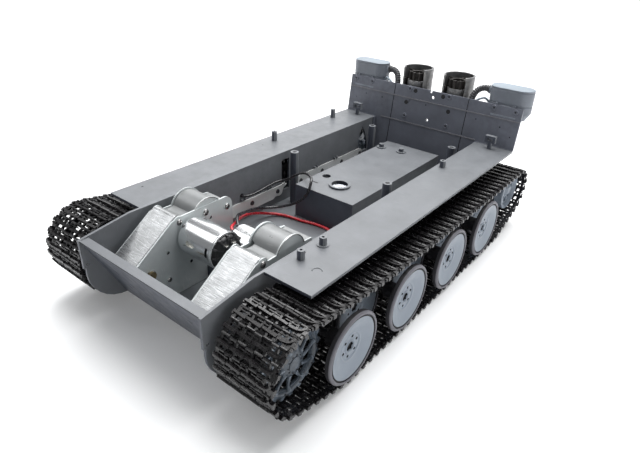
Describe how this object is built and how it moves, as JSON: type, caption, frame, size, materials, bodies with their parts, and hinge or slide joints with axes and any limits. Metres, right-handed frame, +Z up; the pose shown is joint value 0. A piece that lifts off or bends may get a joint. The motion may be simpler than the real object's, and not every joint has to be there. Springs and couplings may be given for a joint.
{
  "type": "tracked tank chassis",
  "caption": "Lower hull of a model tank: open grey tub with track guards, steel gearboxes, drive motors, overlapping sprung road wheels and black tracks, leaning rear plate with exhausts.",
  "frame": {"origin": "centre of the footprint on the ground, halfway along and across the whole chassis", "axes": "+Z up, -Y towards the nose and the sprockets, +X towards the left-hand track"},
  "size_m": [0.2234, 0.382, 0.1285],
  "materials": {
    "hull_grey": "satin moulded",
    "plate_grey": "satin moulded",
    "bare_steel": "zinc-plated sheet",
    "motor_steel": "bright drawn can",
    "gear_brass": "machined",
    "wheel_grey": "satin moulded",
    "sprocket_blue": "satin moulded",
    "track_black": "satin moulded",
    "exhaust_brown": "dark burnished",
    "filter_grey": "satin moulded",
    "arm_grey": "satin moulded",
    "lead_red": "soft insulation",
    "lead_black": "soft insulation"
  },
  "bodies": {
    "hull": {"hull_tub": "hull_grey", "rear_plate": "plate_grey", "exhaust_left": "exhaust_brown", "exhaust_right": "exhaust_brown", "air_filter_left": "filter_grey", "air_filter_right": "filter_grey", "gearbox_cover_left": "bare_steel", "gearbox_cover_right": "bare_steel", "gearbox_frame_left": "bare_steel", "gearbox_frame_right": "bare_steel", "drive_motor_left": "motor_steel", "drive_motor_right": "motor_steel", "suspension_rail_front_left": "bare_steel", "suspension_rail_front_right": "bare_steel", "suspension_rail_rear_left": "bare_steel", "suspension_rail_rear_right": "bare_steel", "track_left": "track_black", "track_right": "track_black", "motor_lead_red": "lead_red", "motor_lead_black": "lead_black"},
    "sprocket_left": {"sprocket_left": "sprocket_blue", "output_gear_left": "gear_brass"},
    "sprocket_right": {"sprocket_right": "sprocket_blue", "output_gear_right": "gear_brass"},
    "idler_left": {"idler_left": "wheel_grey"},
    "pinion_left": {"motor_pinion_left": "gear_brass"},
    "arm_left_1": {"swing_arm_left_1": "arm_grey"},
    "wheel_left_1": {"road_wheel_left_1": "wheel_grey"},
    "arm_left_2": {"swing_arm_left_2": "arm_grey"},
    "wheel_left_2": {"road_wheel_left_2": "wheel_grey"},
    "arm_left_3": {"swing_arm_left_3": "arm_grey"},
    "wheel_left_3": {"road_wheel_left_3": "wheel_grey"},
    "arm_left_4": {"swing_arm_left_4": "arm_grey"},
    "wheel_left_4": {"road_wheel_left_4": "wheel_grey"},
    "arm_left_5": {"swing_arm_left_5": "arm_grey"},
    "wheel_left_5": {"road_wheel_left_5": "wheel_grey"},
    "arm_left_6": {"swing_arm_left_6": "arm_grey"},
    "wheel_left_6": {"road_wheel_left_6": "wheel_grey"},
    "arm_left_7": {"swing_arm_left_7": "arm_grey"},
    "wheel_left_7": {"road_wheel_left_7": "wheel_grey"},
    "arm_left_8": {"swing_arm_left_8": "arm_grey"},
    "wheel_left_8": {"road_wheel_left_8": "wheel_grey"},
    "idler_right": {"idler_right": "wheel_grey"},
    "pinion_right": {"motor_pinion_right": "gear_brass"},
    "arm_right_1": {"swing_arm_right_1": "arm_grey"},
    "wheel_right_1": {"road_wheel_right_1": "wheel_grey"},
    "arm_right_2": {"swing_arm_right_2": "arm_grey"},
    "wheel_right_2": {"road_wheel_right_2": "wheel_grey"},
    "arm_right_3": {"swing_arm_right_3": "arm_grey"},
    "wheel_right_3": {"road_wheel_right_3": "wheel_grey"},
    "arm_right_4": {"swing_arm_right_4": "arm_grey"},
    "wheel_right_4": {"road_wheel_right_4": "wheel_grey"},
    "arm_right_5": {"swing_arm_right_5": "arm_grey"},
    "wheel_right_5": {"road_wheel_right_5": "wheel_grey"},
    "arm_right_6": {"swing_arm_right_6": "arm_grey"},
    "wheel_right_6": {"road_wheel_right_6": "wheel_grey"},
    "arm_right_7": {"swing_arm_right_7": "arm_grey"},
    "wheel_right_7": {"road_wheel_right_7": "wheel_grey"},
    "arm_right_8": {"swing_arm_right_8": "arm_grey"},
    "wheel_right_8": {"road_wheel_right_8": "wheel_grey"}
  },
  "joints": [
    {"name": "sprocket_left_spin", "type": "hinge", "parent": "hull", "child": "sprocket_left", "pos_m": [0.086, -0.1618, 0.041], "axis": [1, 0, 0], "continuous": true},
    {"name": "sprocket_right_spin", "type": "hinge", "parent": "hull", "child": "sprocket_right", "pos_m": [-0.086, -0.1618, 0.041], "axis": [1, 0, 0], "continuous": true},
    {"name": "idler_left_spin", "type": "hinge", "parent": "hull", "child": "idler_left", "pos_m": [0.084, 0.1533, 0.036], "axis": [1, 0, 0], "continuous": true},
    {"name": "pinion_left_spin", "type": "hinge", "parent": "hull", "child": "pinion_left", "pos_m": [0.033, -0.0968, 0.046], "axis": [1, 0, 0], "continuous": true},
    {"name": "arm_left_1_swing", "type": "hinge", "parent": "hull", "child": "arm_left_1", "pos_m": [0.062, -0.1016, 0.038], "axis": [-1, 0, 0], "range_deg": [0, 5], "stiffness_Nm_per_rad": 0.05, "springref_deg": -22.92},
    {"name": "wheel_left_1_spin", "type": "hinge", "parent": "arm_left_1", "child": "wheel_left_1", "pos_m": [0.103, -0.119, 0.0285], "axis": [1, 0, 0], "continuous": true},
    {"name": "arm_left_2_swing", "type": "hinge", "parent": "hull", "child": "arm_left_2", "pos_m": [0.062, -0.0688, 0.038], "axis": [-1, 0, 0], "range_deg": [0, 5], "stiffness_Nm_per_rad": 0.05, "springref_deg": -22.92},
    {"name": "wheel_left_2_spin", "type": "hinge", "parent": "arm_left_2", "child": "wheel_left_2", "pos_m": [0.084, -0.0862, 0.0285], "axis": [1, 0, 0], "continuous": true},
    {"name": "arm_left_3_swing", "type": "hinge", "parent": "hull", "child": "arm_left_3", "pos_m": [0.062, -0.036, 0.038], "axis": [-1, 0, 0], "range_deg": [0, 5], "stiffness_Nm_per_rad": 0.05, "springref_deg": -22.92},
    {"name": "wheel_left_3_spin", "type": "hinge", "parent": "arm_left_3", "child": "wheel_left_3", "pos_m": [0.103, -0.0534, 0.0285], "axis": [1, 0, 0], "continuous": true},
    {"name": "arm_left_4_swing", "type": "hinge", "parent": "hull", "child": "arm_left_4", "pos_m": [0.062, -0.0032, 0.038], "axis": [-1, 0, 0], "range_deg": [0, 5], "stiffness_Nm_per_rad": 0.05, "springref_deg": -22.92},
    {"name": "wheel_left_4_spin", "type": "hinge", "parent": "arm_left_4", "child": "wheel_left_4", "pos_m": [0.084, -0.0206, 0.0285], "axis": [1, 0, 0], "continuous": true},
    {"name": "arm_left_5_swing", "type": "hinge", "parent": "hull", "child": "arm_left_5", "pos_m": [0.062, 0.0296, 0.038], "axis": [-1, 0, 0], "range_deg": [0, 5], "stiffness_Nm_per_rad": 0.05, "springref_deg": -22.92},
    {"name": "wheel_left_5_spin", "type": "hinge", "parent": "arm_left_5", "child": "wheel_left_5", "pos_m": [0.103, 0.0122, 0.0285], "axis": [1, 0, 0], "continuous": true},
    {"name": "arm_left_6_swing", "type": "hinge", "parent": "hull", "child": "arm_left_6", "pos_m": [0.062, 0.0624, 0.038], "axis": [-1, 0, 0], "range_deg": [0, 5], "stiffness_Nm_per_rad": 0.05, "springref_deg": -22.92},
    {"name": "wheel_left_6_spin", "type": "hinge", "parent": "arm_left_6", "child": "wheel_left_6", "pos_m": [0.084, 0.045, 0.0285], "axis": [1, 0, 0], "continuous": true},
    {"name": "arm_left_7_swing", "type": "hinge", "parent": "hull", "child": "arm_left_7", "pos_m": [0.062, 0.0952, 0.038], "axis": [-1, 0, 0], "range_deg": [0, 5], "stiffness_Nm_per_rad": 0.05, "springref_deg": -22.92},
    {"name": "wheel_left_7_spin", "type": "hinge", "parent": "arm_left_7", "child": "wheel_left_7", "pos_m": [0.103, 0.0778, 0.0285], "axis": [1, 0, 0], "continuous": true},
    {"name": "arm_left_8_swing", "type": "hinge", "parent": "hull", "child": "arm_left_8", "pos_m": [0.062, 0.128, 0.038], "axis": [-1, 0, 0], "range_deg": [0, 5], "stiffness_Nm_per_rad": 0.05, "springref_deg": -22.92},
    {"name": "wheel_left_8_spin", "type": "hinge", "parent": "arm_left_8", "child": "wheel_left_8", "pos_m": [0.084, 0.1106, 0.0285], "axis": [1, 0, 0], "continuous": true},
    {"name": "idler_right_spin", "type": "hinge", "parent": "hull", "child": "idler_right", "pos_m": [-0.084, 0.1533, 0.036], "axis": [1, 0, 0], "continuous": true},
    {"name": "pinion_right_spin", "type": "hinge", "parent": "hull", "child": "pinion_right", "pos_m": [-0.033, -0.1258, 0.058], "axis": [1, 0, 0], "continuous": true},
    {"name": "arm_right_1_swing", "type": "hinge", "parent": "hull", "child": "arm_right_1", "pos_m": [-0.062, -0.1016, 0.038], "axis": [-1, 0, 0], "range_deg": [0, 5], "stiffness_Nm_per_rad": 0.05, "springref_deg": -22.92},
    {"name": "wheel_right_1_spin", "type": "hinge", "parent": "arm_right_1", "child": "wheel_right_1", "pos_m": [-0.103, -0.119, 0.0285], "axis": [1, 0, 0], "continuous": true},
    {"name": "arm_right_2_swing", "type": "hinge", "parent": "hull", "child": "arm_right_2", "pos_m": [-0.062, -0.0688, 0.038], "axis": [-1, 0, 0], "range_deg": [0, 5], "stiffness_Nm_per_rad": 0.05, "springref_deg": -22.92},
    {"name": "wheel_right_2_spin", "type": "hinge", "parent": "arm_right_2", "child": "wheel_right_2", "pos_m": [-0.084, -0.0862, 0.0285], "axis": [1, 0, 0], "continuous": true},
    {"name": "arm_right_3_swing", "type": "hinge", "parent": "hull", "child": "arm_right_3", "pos_m": [-0.062, -0.036, 0.038], "axis": [-1, 0, 0], "range_deg": [0, 5], "stiffness_Nm_per_rad": 0.05, "springref_deg": -22.92},
    {"name": "wheel_right_3_spin", "type": "hinge", "parent": "arm_right_3", "child": "wheel_right_3", "pos_m": [-0.103, -0.0534, 0.0285], "axis": [1, 0, 0], "continuous": true},
    {"name": "arm_right_4_swing", "type": "hinge", "parent": "hull", "child": "arm_right_4", "pos_m": [-0.062, -0.0032, 0.038], "axis": [-1, 0, 0], "range_deg": [0, 5], "stiffness_Nm_per_rad": 0.05, "springref_deg": -22.92},
    {"name": "wheel_right_4_spin", "type": "hinge", "parent": "arm_right_4", "child": "wheel_right_4", "pos_m": [-0.084, -0.0206, 0.0285], "axis": [1, 0, 0], "continuous": true},
    {"name": "arm_right_5_swing", "type": "hinge", "parent": "hull", "child": "arm_right_5", "pos_m": [-0.062, 0.0296, 0.038], "axis": [-1, 0, 0], "range_deg": [0, 5], "stiffness_Nm_per_rad": 0.05, "springref_deg": -22.92},
    {"name": "wheel_right_5_spin", "type": "hinge", "parent": "arm_right_5", "child": "wheel_right_5", "pos_m": [-0.103, 0.0122, 0.0285], "axis": [1, 0, 0], "continuous": true},
    {"name": "arm_right_6_swing", "type": "hinge", "parent": "hull", "child": "arm_right_6", "pos_m": [-0.062, 0.0624, 0.038], "axis": [-1, 0, 0], "range_deg": [0, 5], "stiffness_Nm_per_rad": 0.05, "springref_deg": -22.92},
    {"name": "wheel_right_6_spin", "type": "hinge", "parent": "arm_right_6", "child": "wheel_right_6", "pos_m": [-0.084, 0.045, 0.0285], "axis": [1, 0, 0], "continuous": true},
    {"name": "arm_right_7_swing", "type": "hinge", "parent": "hull", "child": "arm_right_7", "pos_m": [-0.062, 0.0952, 0.038], "axis": [-1, 0, 0], "range_deg": [0, 5], "stiffness_Nm_per_rad": 0.05, "springref_deg": -22.92},
    {"name": "wheel_right_7_spin", "type": "hinge", "parent": "arm_right_7", "child": "wheel_right_7", "pos_m": [-0.103, 0.0778, 0.0285], "axis": [1, 0, 0], "continuous": true},
    {"name": "arm_right_8_swing", "type": "hinge", "parent": "hull", "child": "arm_right_8", "pos_m": [-0.062, 0.128, 0.038], "axis": [-1, 0, 0], "range_deg": [0, 5], "stiffness_Nm_per_rad": 0.05, "springref_deg": -22.92},
    {"name": "wheel_right_8_spin", "type": "hinge", "parent": "arm_right_8", "child": "wheel_right_8", "pos_m": [-0.084, 0.1106, 0.0285], "axis": [1, 0, 0], "continuous": true}
  ],
  "couplings": [
    {"joint": "idler_left_spin", "follows": "sprocket_left_spin", "ratio": 1.3873},
    {"joint": "pinion_left_spin", "follows": "sprocket_left_spin", "ratio": -12},
    {"joint": "wheel_left_1_spin", "follows": "sprocket_left_spin", "ratio": 1.0482},
    {"joint": "wheel_left_2_spin", "follows": "sprocket_left_spin", "ratio": 1.0482},
    {"joint": "wheel_left_3_spin", "follows": "sprocket_left_spin", "ratio": 1.0482},
    {"joint": "wheel_left_4_spin", "follows": "sprocket_left_spin", "ratio": 1.0482},
    {"joint": "wheel_left_5_spin", "follows": "sprocket_left_spin", "ratio": 1.0482},
    {"joint": "wheel_left_6_spin", "follows": "sprocket_left_spin", "ratio": 1.0482},
    {"joint": "wheel_left_7_spin", "follows": "sprocket_left_spin", "ratio": 1.0482},
    {"joint": "wheel_left_8_spin", "follows": "sprocket_left_spin", "ratio": 1.0482},
    {"joint": "idler_right_spin", "follows": "sprocket_right_spin", "ratio": 1.3873},
    {"joint": "pinion_right_spin", "follows": "sprocket_right_spin", "ratio": -12},
    {"joint": "wheel_right_1_spin", "follows": "sprocket_right_spin", "ratio": 1.0482},
    {"joint": "wheel_right_2_spin", "follows": "sprocket_right_spin", "ratio": 1.0482},
    {"joint": "wheel_right_3_spin", "follows": "sprocket_right_spin", "ratio": 1.0482},
    {"joint": "wheel_right_4_spin", "follows": "sprocket_right_spin", "ratio": 1.0482},
    {"joint": "wheel_right_5_spin", "follows": "sprocket_right_spin", "ratio": 1.0482},
    {"joint": "wheel_right_6_spin", "follows": "sprocket_right_spin", "ratio": 1.0482},
    {"joint": "wheel_right_7_spin", "follows": "sprocket_right_spin", "ratio": 1.0482},
    {"joint": "wheel_right_8_spin", "follows": "sprocket_right_spin", "ratio": 1.0482}
  ]
}
